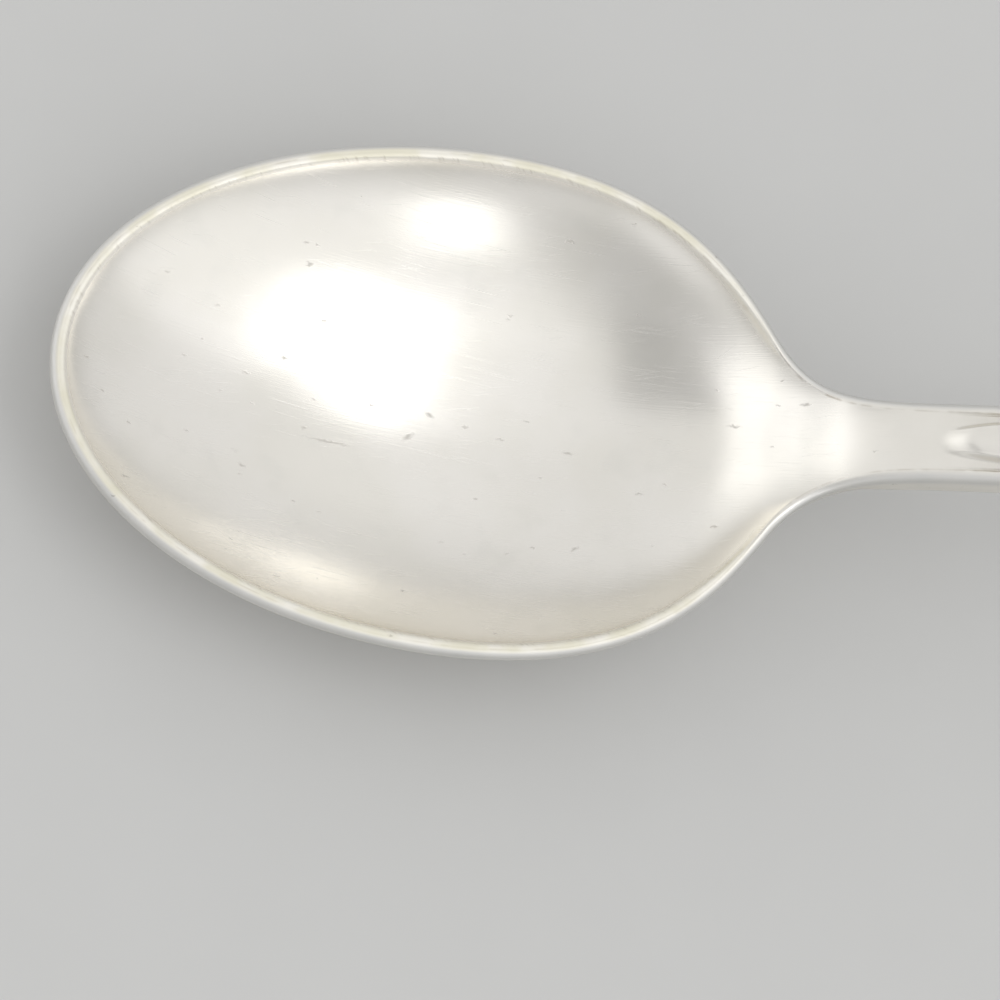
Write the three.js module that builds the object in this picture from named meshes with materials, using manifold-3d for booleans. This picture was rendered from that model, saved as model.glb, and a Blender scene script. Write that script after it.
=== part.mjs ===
// A teaspoon made in two pieces: a pressed bowl, and a struck handle whose tongue laps under the bowl.
// Millimetres, +Z up, lying on z = 0. The bowl's tip points along -X and the handle runs along +X.
import * as THREE from 'three';
import { mergeVertices } from 'three/addons/utils/BufferGeometryUtils.js';
import Module from 'manifold-3d';

// Outline seen from above, from the tip of the bowl to the end of the handle
const LENGTH = 145;
const BOWL_WIDTH = 31;
const BOWL_FRONT = 24.5;          // tip to widest point
const BOWL_BACK = 18.7;           // widest point to shoulder, where the outline turns from round to hollow
const SHOULDER_WIDTH = 12.1;
const SHOULDER_SLOPE = 1.41;      // how steeply each side runs in at the shoulder
const SHOULDER_ROUND = 4.9;       // length over which the shoulder stays straight towards the bowl
const SHOULDER_HOLLOW = 4.3;      // and towards the neck
const NECK_RUN = 10.1;            // shoulder to the narrowest point of the neck
const NECK_WIDTH = 4.8;
const NECK_HOLLOW = 5;            // length over which the neck stays straight towards the shoulder
const STEM_STRAIGHT = 52;         // and towards the handle's end
const END_WIDTH = 17;
const END_ROUND = 9;              // length of the rounded end beyond its widest point
const END_FLARE = 18;             // length over which the widest part of the end stays straight

// Height of the upper edge along the spoon
const RIM_PITCH = 0.025;          // the bowl's rim climbs this much per millimetre towards the handle
const NECK_HEIGHT = 12.45;
const NECK_RISE = 0.36;
const STEEP_BEFORE_NECK = 6.4;    // the edge climbs steepest this far before the neck
const STEEP_BELOW_NECK = 2.85;
const STEEP_RISE = 0.57;
const ARCH_AT = 90;
const ARCH_HEIGHT = 18.5;
const END_LIFT = 0.05;            // the edge of the handle's end clears the table by this

// Bowl
const BOWL_DEPTH = 7;
const BOWL_SHEET = 1.1;
const BOWL_FULLNESS = 0.8;        // 1 gives a parabola, less gives steeper sides and a flatter floor
const THROAT_RUN = 19.6;          // widest point to the brow where the hollow turns out into the neck
const THROAT_BROW = 2.25;         // how far the brow is rounded off
const RIM_WIDTH = 0.8;
const RIM_LEAST = 0.05;           // flat that is left of the rim beside the neck's rounded edge
const RIM_FADE_FROM = -5;         // the flat rim runs out between these two distances from the shoulder
const RIM_FADE_TO = 1.5;
const RIM_HEIGHT = 0.8;
const HEEL_HEIGHT = 1.7;          // the rim's height where the bowl ends at the joint
const HEEL_TAPER = 14;            // length over which the rim thickens up to there
const RIM_ROUND = 0.4;            // rounding of the upper edge along the bowl's rim
const NECK_ROUND = 0.55;          // and along the neck and the handle
const WORN_DEPTH = 0.08;          // metal worn away where the belly stands on the table

// Handle
const NECK_SIDE = 2.5;            // height of its sides, without the crown beneath
const NECK_CROWN = 0.7;
const END_SIDE = 1;
const END_CROWN = 0.4;
const BORDER_WIDTH = 0.58;        // thread along the edge, most of it the edge's own rounding
const BORDER_GROOVE = 0.2;
const GROOVE_WIDTH = 0.25;
const CHANNEL_DEPTH = 0.1;        // between the border and the raised panel
const PANEL_INSET = 1.1;          // from the edge to the foot of the raised panel's slope
const PANEL_SLOPE = 0.35;
const PANEL_RISE = 0.42;
const NOSE_BEFORE_NECK = 1.2;     // the panel starts in a narrow nose this far before the neck
const NOSE_INSET = 1.5;
const NOSE_LENGTH = 2;
const NOSE_ROUND = 1.2;           // less makes the nose more pointed
const PANEL_WIDENS = 4;           // length over which the panel widens behind its nose
const BORDER_FADE = 6;            // length over which the channels sink in behind the joint

// Joint: the bowl's sheet ends square across the neck, and the handle's tongue carries it from beneath
const JOINT_BEFORE_NECK = 1.8;
const SOLDER_GAP = 0.1;
const TONGUE_LENGTH = 11.5;
const TONGUE_SIDE = 0.4;          // at the tongue's rounded tip
const TONGUE_CROWN = 0.35;

// Worn silver: the bowl is rubbed brighter than the handle
const SILVER = 0xd9d6cc;
const BOWL_ROUGHNESS = 0.25;
const HANDLE_ROUGHNESS = 0.28;

// How finely the curves are divided
const FAN_STEPS = 14;
const BOWL_STEP = 1;
const STEM_STEP = 3.2;
const FINE_STEP = 0.55;
const DISH_STEPS = 8;
const ROUND_STEPS = 3;
const FAN_SPREAD = 0.45;          // share of a rounded end's reach over which its ribs leave the centre line
const HALVINGS = 50;              // of the search for a point along a side curve
const WELD = 1e-4;                // corners nearer than this are one corner

const widestAt = BOWL_FRONT;
const shoulderAt = widestAt + BOWL_BACK;
const neckAt = shoulderAt + NECK_RUN;
const throatAt = widestAt + THROAT_RUN;
const jointAt = neckAt - JOINT_BEFORE_NECK;
const stepAt = jointAt + SOLDER_GAP;
const tongueTipAt = jointAt - TONGUE_LENGTH;
const noseAt = neckAt - NOSE_BEFORE_NECK;
const endWidestAt = LENGTH - END_ROUND;

const mix = THREE.MathUtils.lerp;

function smooth(from, to, at) {
  return THREE.MathUtils.smoothstep(at, from, to);
}

// Sides of the outline behind the widest point, as three curves that meet smoothly
function outlineCurves() {
  const widest = new THREE.Vector2(widestAt, BOWL_WIDTH / 2);
  const shoulder = new THREE.Vector2(shoulderAt, SHOULDER_WIDTH / 2);
  const neck = new THREE.Vector2(neckAt, NECK_WIDTH / 2);
  const end = new THREE.Vector2(endWidestAt, END_WIDTH / 2);
  const inward = new THREE.Vector2(1, -SHOULDER_SLOPE).normalize();
  const beforeShoulder = shoulder.clone().addScaledVector(inward, -SHOULDER_ROUND);
  const afterShoulder = shoulder.clone().addScaledVector(inward, SHOULDER_HOLLOW);
  // the back leaves the widest point with the curvature of the elliptical front
  const drop = (widest.y - beforeShoulder.y) / widest.y;
  const fullReach = BOWL_FRONT * Math.sqrt(drop * 2 / 3);
  const along = (point, distance) => new THREE.Vector2(point.x + distance, point.y);
  return [
    new THREE.CubicBezierCurve(widest, along(widest, fullReach), beforeShoulder, shoulder),
    new THREE.CubicBezierCurve(shoulder, afterShoulder, along(neck, -NECK_HOLLOW), neck),
    new THREE.CubicBezierCurve(neck, along(neck, STEM_STRAIGHT), along(end, -END_FLARE), end),
  ];
}

const sideCurves = outlineCurves();

// Half width of the outline at a distance from the tip, and how much an inset widens where the side slants
function sideAt(at) {
  const curve = sideCurves.find((side) => at <= side.v3.x) ?? sideCurves.at(-1);
  let low = 0;
  let high = 1;
  for (let halving = 0; halving < HALVINGS; halving += 1) {
    const middle = (low + high) / 2;
    if (curve.getPoint(middle).x < at) low = middle;
    else high = middle;
  }
  const tangent = curve.getTangent(low);
  return { half: curve.getPoint(low).y, slant: Math.hypot(tangent.x, tangent.y) / tangent.x };
}

// Upper edge of the spoon: straight along the rim, up through the neck, over the arch and down to the end
const bowlBelow = BOWL_DEPTH + BOWL_SHEET;
const pitchDip = (RIM_PITCH * BOWL_FRONT) ** 2 / (4 * BOWL_FULLNESS * bowlBelow);
const rimAtWidest = bowlBelow + pitchDip - WORN_DEPTH;
const edgeStations = [
  { at: 0, height: rimAtWidest - RIM_PITCH * widestAt, slope: RIM_PITCH },
  { at: shoulderAt, height: rimAtWidest + RIM_PITCH * BOWL_BACK, slope: RIM_PITCH },
  { at: neckAt - STEEP_BEFORE_NECK, height: NECK_HEIGHT - STEEP_BELOW_NECK, slope: STEEP_RISE },
  { at: neckAt, height: NECK_HEIGHT, slope: NECK_RISE },
  { at: ARCH_AT, height: ARCH_HEIGHT, slope: 0 },
  { at: LENGTH, height: END_SIDE + END_LIFT, slope: 0 },
];

function edgeHeight(at) {
  const next = Math.max(1, edgeStations.findIndex((station) => at <= station.at));
  const from = edgeStations[next - 1];
  const to = edgeStations[next];
  const span = to.at - from.at;
  const part = (at - from.at) / span;
  const bend = from.slope * (1 - part) - to.slope * part;
  return mix(from.height, to.height, part * part * (3 - 2 * part)) + span * part * (1 - part) * bend;
}

// Depth of the hollow along the middle of the bowl: its back wall steepens up to the throat's rounded brow
function middleDepth(at) {
  if (at <= widestAt) return BOWL_DEPTH;
  const reach = BOWL_FRONT - RIM_WIDTH;
  const share = (at - widestAt) / reach;
  const throatShare = THROAT_RUN / reach;
  const steepening = (1 - BOWL_FULLNESS * throatShare ** 2) / throatShare ** 4;
  const sharp = BOWL_DEPTH * (1 - BOWL_FULLNESS * share ** 2 - steepening * share ** 4);
  const rounded = (depth) => (depth + Math.hypot(depth, THROAT_BROW)) / 2;
  const runOut = 1 - smooth(throatAt, jointAt, at);
  return BOWL_DEPTH * rounded(sharp) / rounded(BOWL_DEPTH) * runOut;
}

// How much of the middle's depth is left at a point, for a hollow that starts this far in from the outline
function hollow(at, across, inset) {
  let left;
  if (at < widestAt) {
    const alongShare = (widestAt - at) / (BOWL_FRONT - inset);
    const acrossShare = across / (BOWL_WIDTH / 2 - inset);
    left = 1 - alongShare ** 2 - acrossShare ** 2;
  } else {
    const side = sideAt(at);
    left = 1 - (across / (side.half - inset * side.slant)) ** 2;
  }
  return Math.max(0, left) ** BOWL_FULLNESS;
}

// The upper edge grows rounder from the rim to the neck, and the flat rim runs out beside it
function edgeRound(at) {
  return mix(RIM_ROUND, NECK_ROUND, smooth(shoulderAt + RIM_FADE_FROM, jointAt, at));
}

function rimWidth(at) {
  const fade = smooth(shoulderAt + RIM_FADE_FROM, shoulderAt + RIM_FADE_TO, at);
  return mix(RIM_WIDTH, edgeRound(at) + RIM_LEAST, fade);
}

function bowlInside(at, across) {
  return edgeHeight(at) - middleDepth(at) * hollow(at, across, rimWidth(at));
}

function rimHeight(at) {
  return mix(RIM_HEIGHT, HEEL_HEIGHT, smooth(jointAt - HEEL_TAPER, jointAt, at));
}

function bowlUnderside(at, across) {
  const middleDrop = middleDepth(at) + BOWL_SHEET - RIM_HEIGHT;
  return edgeHeight(at) - rimHeight(at) - middleDrop * hollow(at, across, 0);
}

// A rib runs in plan from the centre line out to the edge; these give its points by inset from the edge
function fanRib(centre, reach, half, angle) {
  const along = Math.cos(angle);
  const across = Math.sin(angle);
  return {
    spine: centre + reach * FAN_SPREAD * along,
    inset: (depth) => [centre + (reach - Math.sign(reach) * depth) * along, (half - depth) * across],
  };
}

function crossRib(at) {
  const side = sideAt(at);
  return { spine: at, inset: (depth) => [at, side.half - depth * side.slant] };
}

function straightRib(at, half) {
  return { spine: at, inset: (depth) => [at, half - depth] };
}

function ribPoint(rib, depth, share) {
  const [at, across] = rib.inset(depth);
  return [mix(rib.spine, at, share), across * share];
}

function fanRibs(centre, reach, half) {
  const ribs = [];
  for (let step = 0; step < FAN_STEPS; step += 1) {
    ribs.push(fanRib(centre, reach, half, Math.PI / 2 * step / FAN_STEPS));
  }
  return ribs;
}

function divide(from, to, step) {
  const count = Math.max(1, Math.ceil((to - from) / step));
  return Array.from({ length: count + 1 }, (_, index) => mix(from, to, index / count));
}

// The rounded upper edge that bowl and handle share, from the flat top out to the side
function roundedEdge(rib) {
  const round = edgeRound(rib.spine);
  const points = [];
  for (let step = 0; step <= ROUND_STEPS; step += 1) {
    const angle = Math.PI / 2 * step / ROUND_STEPS;
    const [at, across] = rib.inset(round * (1 - Math.sin(angle)));
    points.push([at, across, edgeHeight(at) - round * (1 - Math.cos(angle))]);
  }
  return points;
}

// Shares of a rib that crowd towards the edge, where a hollow is steepest
function crowdedShares(count) {
  return Array.from({ length: count + 1 }, (_, index) => Math.sin(Math.PI / 2 * index / count));
}

// Bowl: each section goes over the hollow, round the rim and back beneath
function bowlSection(rib) {
  const inside = crowdedShares(DISH_STEPS).map((share) => {
    const [at, across] = ribPoint(rib, rimWidth(rib.spine), share);
    return [at, across, bowlInside(at, across)];
  });
  const beneath = crowdedShares(DISH_STEPS + ROUND_STEPS + 1).reverse().map((share) => {
    const [at, across] = ribPoint(rib, 0, share);
    return [at, across, bowlUnderside(at, across)];
  });
  return [...inside, ...roundedEdge(rib), ...beneath];
}

function bowlSections() {
  const front = fanRibs(widestAt, -BOWL_FRONT, BOWL_WIDTH / 2);
  const back = divide(widestAt, jointAt, BOWL_STEP).map(crossRib);
  return [...front, ...back].map(bowlSection);
}

// Handle: the struck pattern on top is a thread along the edge, a channel and a raised panel with a round nose
const patternShares = [0, 1 / 3, 2 / 3];

function patternInsets(at) {
  const panelFoot = mix(NOSE_INSET, PANEL_INSET, smooth(noseAt, noseAt + PANEL_WIDENS, at));
  const grooveMiddle = BORDER_WIDTH + GROOVE_WIDTH / 2;
  return [panelFoot + PANEL_SLOPE, panelFoot, BORDER_WIDTH + GROOVE_WIDTH, grooveMiddle, BORDER_WIDTH];
}

const undersideCount = patternShares.length + patternInsets(noseAt).length + ROUND_STEPS;

function patternHeights(at, across) {
  const sunk = smooth(stepAt, stepAt + BORDER_FADE, at);
  const noseFront = noseAt + across ** 2 / NOSE_ROUND;
  const panel = PANEL_RISE * smooth(noseFront, noseFront + NOSE_LENGTH, at);
  const channel = -CHANNEL_DEPTH * sunk;
  return [panel, channel, channel, -BORDER_GROOVE * sunk, 0];
}

function handleThickness(at) {
  const part = smooth(neckAt, LENGTH, at);
  return { side: mix(NECK_SIDE, END_SIDE, part), crown: mix(NECK_CROWN, END_CROWN, part) };
}

function crownShape(share) {
  return (1 - share ** 2) ** BOWL_FULLNESS;
}

function handleSection(rib) {
  const insets = patternInsets(rib.spine);
  const panelPoints = patternShares.map((share) => {
    const [at, across] = ribPoint(rib, insets[0], share);
    return [at, across, edgeHeight(at) + patternHeights(at, across)[0]];
  });
  const borderPoints = insets.map((inset, index) => {
    const [at, across] = rib.inset(inset);
    return [at, across, edgeHeight(at) + patternHeights(at, across)[index]];
  });
  const beneath = crowdedShares(undersideCount).reverse().map((share) => {
    const [at, across] = ribPoint(rib, 0, share);
    const { side, crown } = handleThickness(at);
    return [at, across, edgeHeight(at) - side - crown * crownShape(share)];
  });
  return [...panelPoints, ...borderPoints, ...roundedEdge(rib), ...beneath];
}

// Tongue: it follows the underside of the bowl's sheet and grows thinner towards its rounded tip
const tongueHalf = sideAt(jointAt).half;

function tongueSection(rib) {
  const joint = handleThickness(stepAt);
  const jointSide = joint.side - HEEL_HEIGHT - SOLDER_GAP;
  const jointCrown = joint.crown - (BOWL_SHEET - RIM_HEIGHT);
  const insets = patternInsets(tongueTipAt);
  const topShares = [
    ...patternShares.map((share) => share * (1 - insets[0] / tongueHalf)),
    ...insets.map((inset) => 1 - inset / tongueHalf),
    ...divide(NECK_ROUND, 0, -NECK_ROUND / ROUND_STEPS).map((inset) => 1 - inset / tongueHalf),
  ];
  const top = topShares.map((share) => {
    const [at, across] = ribPoint(rib, 0, share);
    return [at, across, bowlUnderside(at, across) - SOLDER_GAP];
  });
  const beneath = crowdedShares(undersideCount).reverse().map((share) => {
    const [at, across] = ribPoint(rib, 0, share);
    const part = smooth(tongueTipAt, stepAt, at);
    const side = mix(TONGUE_SIDE, jointSide, part);
    const crown = mix(TONGUE_CROWN, jointCrown, part);
    return [at, across, bowlUnderside(at, across) - SOLDER_GAP - side - crown * crownShape(share)];
  });
  return [...top, ...beneath];
}

function handleSections() {
  const roundFrom = tongueTipAt + tongueHalf;
  const tongueTip = fanRibs(roundFrom, -tongueHalf, tongueHalf);
  const tongue = divide(roundFrom, stepAt, BOWL_STEP).map((at) => straightRib(at, tongueHalf));
  const patternFrom = divide(stepAt, noseAt + PANEL_WIDENS, FINE_STEP);
  const stem = divide(patternFrom.at(-1), endWidestAt, STEM_STEP).slice(1);
  const end = fanRibs(endWidestAt, END_ROUND, END_WIDTH / 2).reverse();
  return [
    ...[...tongueTip, ...tongue].map(tongueSection),
    ...[...patternFrom, ...stem].map(crossRib).map(handleSection),
    ...end.map(handleSection),
  ];
}

// Skin of a piece that is the same on both sides: the sections of one side, joined up and mirrored
function mirroredSkin(sections, squareEnd) {
  const positions = [];
  const addTriangle = (a, b, c) => {
    for (const [at, across, height] of [a, b, c]) positions.push(at, across, height);
    for (const [at, across, height] of [a, c, b]) positions.push(at, -across, height);
  };
  const addQuad = (a, b, c, d) => {
    addTriangle(a, b, c);
    addTriangle(a, c, d);
  };
  for (let index = 0; index + 1 < sections.length; index += 1) {
    const here = sections[index];
    const next = sections[index + 1];
    for (let point = 0; point + 1 < here.length; point += 1) {
      addQuad(here[point], next[point], next[point + 1], here[point + 1]);
    }
  }
  if (squareEnd) {
    const last = sections.at(-1);
    for (let point = 0; point + 1 < last.length / 2; point += 1) {
      const beneath = last.length - 1 - point;
      addQuad(last[beneath], last[beneath - 1], last[point + 1], last[point]);
    }
  }
  const skin = new THREE.BufferGeometry();
  skin.setAttribute('position', new THREE.Float32BufferAttribute(positions, 3));
  skin.translate(-LENGTH / 2, 0, 0);
  return skin;
}

const wasm = await Module();
wasm.setup();

function toSolid(geometry) {
  const bare = geometry.clone();
  bare.deleteAttribute('normal');
  bare.deleteAttribute('uv');
  const welded = mergeVertices(bare, WELD);
  return new wasm.Manifold(new wasm.Mesh({
    numProp: 3,
    vertProperties: new Float32Array(welded.attributes.position.array),
    triVerts: new Uint32Array(welded.index.array),
  }));
}

// What lies below the table is cut away, which leaves the small flats that the spoon stands on
function standOnTable(skin) {
  const below = new THREE.BoxGeometry(LENGTH * 2, BOWL_WIDTH * 2, BOWL_DEPTH);
  below.translate(0, 0, -BOWL_DEPTH / 2);
  const cut = toSolid(skin).subtract(toSolid(below)).getMesh();
  const geometry = new THREE.BufferGeometry();
  geometry.setAttribute('position', new THREE.Float32BufferAttribute(cut.vertProperties, cut.numProp));
  geometry.setIndex(new THREE.Uint32BufferAttribute(cut.triVerts, 1));
  geometry.computeVertexNormals();
  return geometry;
}

function silverMesh(name, skin, roughness) {
  const material = new THREE.MeshStandardMaterial({ color: SILVER, roughness, metalness: 1 });
  const mesh = new THREE.Mesh(standOnTable(skin), material);
  mesh.name = name;
  return mesh;
}

const spoon = new THREE.Group();
spoon.name = 'teaspoon';
spoon.add(silverMesh('bowl', mirroredSkin(bowlSections(), true), BOWL_ROUGHNESS));
spoon.add(silverMesh('handle', mirroredSkin(handleSections(), false), HANDLE_ROUGHNESS));

export default spoon;
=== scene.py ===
import math
from collections import namedtuple

import bmesh
import bpy
import numpy as np
from mathutils import Euler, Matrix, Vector


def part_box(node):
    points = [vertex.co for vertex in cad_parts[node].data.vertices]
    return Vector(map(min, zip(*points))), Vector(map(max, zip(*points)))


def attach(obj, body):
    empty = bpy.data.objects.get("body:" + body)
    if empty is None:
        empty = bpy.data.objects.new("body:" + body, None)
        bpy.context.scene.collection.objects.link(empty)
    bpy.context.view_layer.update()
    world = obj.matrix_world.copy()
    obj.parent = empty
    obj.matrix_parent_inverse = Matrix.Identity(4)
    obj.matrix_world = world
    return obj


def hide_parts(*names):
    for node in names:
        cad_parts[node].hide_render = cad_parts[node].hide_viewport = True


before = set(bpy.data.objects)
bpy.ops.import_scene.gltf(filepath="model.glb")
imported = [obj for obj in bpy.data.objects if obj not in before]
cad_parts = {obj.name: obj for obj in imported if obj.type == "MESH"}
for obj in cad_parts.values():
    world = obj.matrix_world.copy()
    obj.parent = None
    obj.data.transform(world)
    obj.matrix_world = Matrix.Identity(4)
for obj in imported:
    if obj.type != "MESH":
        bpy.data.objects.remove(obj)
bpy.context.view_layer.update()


# Bowl: an oval dish pressed from silver-plated sheet, with a narrow flat rim left round its edge.
# Behind, it rises through the throat and thickens to a heel, which ends square across the neck on the
# handle's tongue and is soldered there. Stirring and polishing have left hairlines, pits and a scratch.
MM = 0.001

bowl_low, bowl_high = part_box("bowl")
TIP = bowl_low.x
JOINT = bowl_high.x
BOWL_HALF = bowl_high.y

BOWL_FRONT = 24.5 * MM            # tip to widest point
BOWL_BACK = 18.7 * MM             # widest point to shoulder, where the outline turns from round to hollow
SHOULDER_HALF = 6.05 * MM
SHOULDER_SLOPE = 1.41             # how steeply each side runs in at the shoulder
SHOULDER_ROUND = 4.9 * MM         # length over which the shoulder stays straight towards the bowl
SHOULDER_HOLLOW = 4.3 * MM        # and towards the neck
NECK_RUN = 10.1 * MM              # shoulder to the narrowest point of the neck
NECK_HALF = 2.4 * MM
NECK_HOLLOW = 5 * MM              # length over which the neck stays straight towards the shoulder

RIM_AT_WIDEST = 8.035 * MM        # height of the rim above the table
RIM_PITCH = 0.025                 # the rim climbs this much per millimetre towards the handle
NECK_HEIGHT = 12.45 * MM
NECK_RISE = 0.36
STEEP_BEFORE_NECK = 6.4 * MM      # the edge climbs steepest this far before the neck
STEEP_BELOW_NECK = 2.85 * MM
STEEP_RISE = 0.57

BOWL_DEPTH = 7 * MM
BOWL_SHEET = 1.1 * MM
BOWL_FULLNESS = 0.8               # 1 gives a parabola, less gives steeper sides and a flatter floor
THROAT_RUN = 19.6 * MM            # widest point to the brow where the hollow turns out into the neck
THROAT_BROW = 2.25 * MM           # how far the brow is rounded off
THROAT_DRESSED = 0.15 * MM        # the throat is dressed by hand, a little deeper than it was pressed
DRESSED_FROM = -6.6 * MM          # these three are distances from the throat's brow
DRESSED_FULL = -2.6 * MM
DRESSED_UNTIL = 0.9 * MM
WAVE_HEIGHT = 0.011 * MM          # the polished dish is a little uneven
WAVES_FROM = 0.05                 # the waves set in between these shares of the depth
WAVES_FULL = 0.4

RIM_WIDTH = 0.8 * MM
RIM_LEAST = 0.05 * MM             # flat that is left of the rim beside the neck's rounded edge
RIM_FADE_FROM = -5 * MM           # the flat rim runs out between these two distances from the shoulder
RIM_FADE_TO = 1.5 * MM
RIM_HEIGHT = 0.8 * MM
RIM_ROUND = 0.4 * MM              # rounding of the upper edge along the rim
NECK_ROUND = 0.55 * MM            # and along the neck and the handle
RIM_SOFT = 0.08 * MM              # how far the rim's inner corner is rubbed round
RIM_CORNER = 0.12 * MM            # half width of the nicked band along that corner
RIM_RUBBED = 0.2 * MM             # the dulled band reaches this far inside the rim
RIM_LINE = 0.06 * MM              # a fine line runs this far inside the edge's rounding
RIM_LINE_HALF = 0.05 * MM
RIM_LINE_DEPTH = 0.006 * MM
WORN_REACH = 0.8 * MM             # the plate is rubbed off this far down the sides
HEEL_HEIGHT = 1.7 * MM            # the rim's height where the bowl ends at the joint
HEEL_TAPER = 14 * MM              # length over which the rim thickens up to there
FOOT_SOFT = 0.02 * MM             # softens the edge of the worn flats that stand on the table

WIDEST = TIP + BOWL_FRONT
SHOULDER = WIDEST + BOWL_BACK
NECK = SHOULDER + NECK_RUN
THROAT = WIDEST + THROAT_RUN

CURVE_POINTS = 500


def smooth(low, high, x):
    share = np.clip((x - low) / (high - low), 0, 1)
    return share * share * (3 - 2 * share)


def blend(start, end, share):
    return start + (end - start) * share


def cubic_stretch(start, lead, trail, end):
    """Points of one smooth stretch of the outline, each with the slope of the side there."""
    share = np.linspace(0, 1, CURVE_POINTS, endpoint=False)[:, None]
    rest = 1 - share
    start, lead, trail, end = (np.array(point) for point in (start, lead, trail, end))
    point = rest**3 * start + 3 * rest**2 * share * lead + 3 * rest * share**2 * trail + share**3 * end
    run = rest**2 * (lead - start) + 2 * rest * share * (trail - lead) + share**2 * (end - trail)
    return np.column_stack([point, run[:, 1] / run[:, 0]])


def bowl_sides():
    """The side of the outline from the widest point of the bowl to the neck."""
    inward = np.array([1, -SHOULDER_SLOPE]) / math.hypot(1, SHOULDER_SLOPE)
    shoulder = np.array([SHOULDER, SHOULDER_HALF])
    before = shoulder - inward * SHOULDER_ROUND
    after = shoulder + inward * SHOULDER_HOLLOW
    # With this reach, the side bends at the widest point just as the front's ellipse does
    drop = (BOWL_HALF - before[1]) / BOWL_HALF
    full_reach = BOWL_FRONT * math.sqrt(drop * 2 / 3)
    return np.vstack([
        cubic_stretch((WIDEST, BOWL_HALF), (WIDEST + full_reach, BOWL_HALF), before, shoulder),
        cubic_stretch(shoulder, after, (NECK - NECK_HOLLOW, NECK_HALF), (NECK, NECK_HALF)),
    ])


sides = bowl_sides()


def half_width(x):
    return np.interp(x, sides[:, 0], sides[:, 1])


def slant(x):
    """How much an inset from the edge widens where the side slants."""
    return np.hypot(1, np.interp(x, sides[:, 0], sides[:, 2]))


# Where the upper edge passes: the place along the spoon, the height and the slope there
edge_stations = [
    (TIP, RIM_AT_WIDEST - RIM_PITCH * BOWL_FRONT, RIM_PITCH),
    (SHOULDER, RIM_AT_WIDEST + RIM_PITCH * BOWL_BACK, RIM_PITCH),
    (NECK - STEEP_BEFORE_NECK, NECK_HEIGHT - STEEP_BELOW_NECK, STEEP_RISE),
    (NECK, NECK_HEIGHT, NECK_RISE),
]


def edge_height(x):
    """Upper edge: straight along the rim, then in one smooth curve from station to station."""
    height = np.zeros_like(x)
    for (x0, low, slope0), (x1, high, slope1) in zip(edge_stations, edge_stations[1:]):
        span = x1 - x0
        share = np.clip((x - x0) / span, 0, 1)
        bend = slope0 * (1 - share) - slope1 * share
        curve = blend(low, high, share * share * (3 - 2 * share)) + span * share * (1 - share) * bend
        height = np.where(x >= x0, curve, height)
    return height


def middle_depth(x):
    """Depth of the hollow along the middle: the back wall steepens up to the throat's rounded brow."""
    reach = BOWL_FRONT - RIM_WIDTH
    share = np.clip((x - WIDEST) / reach, 0, None)
    throat_share = THROAT_RUN / reach
    steepening = (1 - BOWL_FULLNESS * throat_share**2) / throat_share**4
    sharp = BOWL_DEPTH * (1 - BOWL_FULLNESS * share**2 - steepening * share**4)
    rounded = (sharp + np.hypot(sharp, THROAT_BROW)) / 2
    full = (BOWL_DEPTH + math.hypot(BOWL_DEPTH, THROAT_BROW)) / 2
    return BOWL_DEPTH * rounded / full * (1 - smooth(THROAT, JOINT, x))


def hollow(x, y, inset, soft):
    """Share of the middle's depth at a point, for a hollow that starts this far in from the outline."""
    front = 1 - ((WIDEST - x) / (BOWL_FRONT - inset))**2 - (y / (BOWL_HALF - inset))**2
    reach = half_width(x) - inset * slant(x)
    left = np.where(x < WIDEST, front, 1 - (y / reach)**2)
    corner = 2 * soft / np.where(x < WIDEST, BOWL_HALF, reach)
    return ((left + np.hypot(left, corner)) / 2)**BOWL_FULLNESS


def edge_round(x):
    """The upper edge grows rounder from the rim to the neck."""
    return blend(RIM_ROUND, NECK_ROUND, smooth(SHOULDER + RIM_FADE_FROM, JOINT, x))


def rim_left(x):
    """How much is left of the flat rim, which runs out beside the neck's rounded edge."""
    return 1 - smooth(SHOULDER + RIM_FADE_FROM, SHOULDER + RIM_FADE_TO, x)


def rim_width(x):
    return blend(edge_round(x) + RIM_LEAST, RIM_WIDTH, rim_left(x))


def rim_line(x, inset):
    return np.exp(-((inset - edge_round(x) - RIM_LINE) / RIM_LINE_HALF)**2)


def worn_edge(x, inset):
    """Share of the plate that is rubbed off the rounding of the upper edge."""
    return smooth(edge_round(x), edge_round(x) / 2, inset)


def polish_waves(x, y):
    """Slow unevenness of hand-polished metal, from a few long waves that cross each other."""
    lengths_turns_phases = [(9.5, 0.3, 0.4), (12.5, 1.3, 2.1), (7.5, 2.2, 4.0), (15.0, 2.9, 1.2)]
    waves = [
        np.sin(2 * math.pi / (length * MM) * (x * math.cos(turn) + y * math.sin(turn)) + phase)
        for length, turn, phase in lengths_turns_phases
    ]
    return sum(waves) / len(waves)


def bowl_top(x, y):
    left = hollow(x, y, rim_width(x), RIM_SOFT)
    waves = WAVE_HEIGHT * polish_waves(x, y) * smooth(WAVES_FROM, WAVES_FULL, left)
    set_in = smooth(THROAT + DRESSED_FROM, THROAT + DRESSED_FULL, x)
    dressed = THROAT_DRESSED * set_in * (1 - smooth(THROAT + DRESSED_UNTIL, JOINT, x))
    return edge_height(x) - (middle_depth(x) + dressed) * left + waves


def bowl_underside(x, y):
    rim_height = blend(RIM_HEIGHT, HEEL_HEIGHT, smooth(JOINT - HEEL_TAPER, JOINT, x))
    middle_drop = middle_depth(x) + BOWL_SHEET - RIM_HEIGHT
    return edge_height(x) - rim_height - middle_drop * hollow(x, y, 0, 0)


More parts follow.
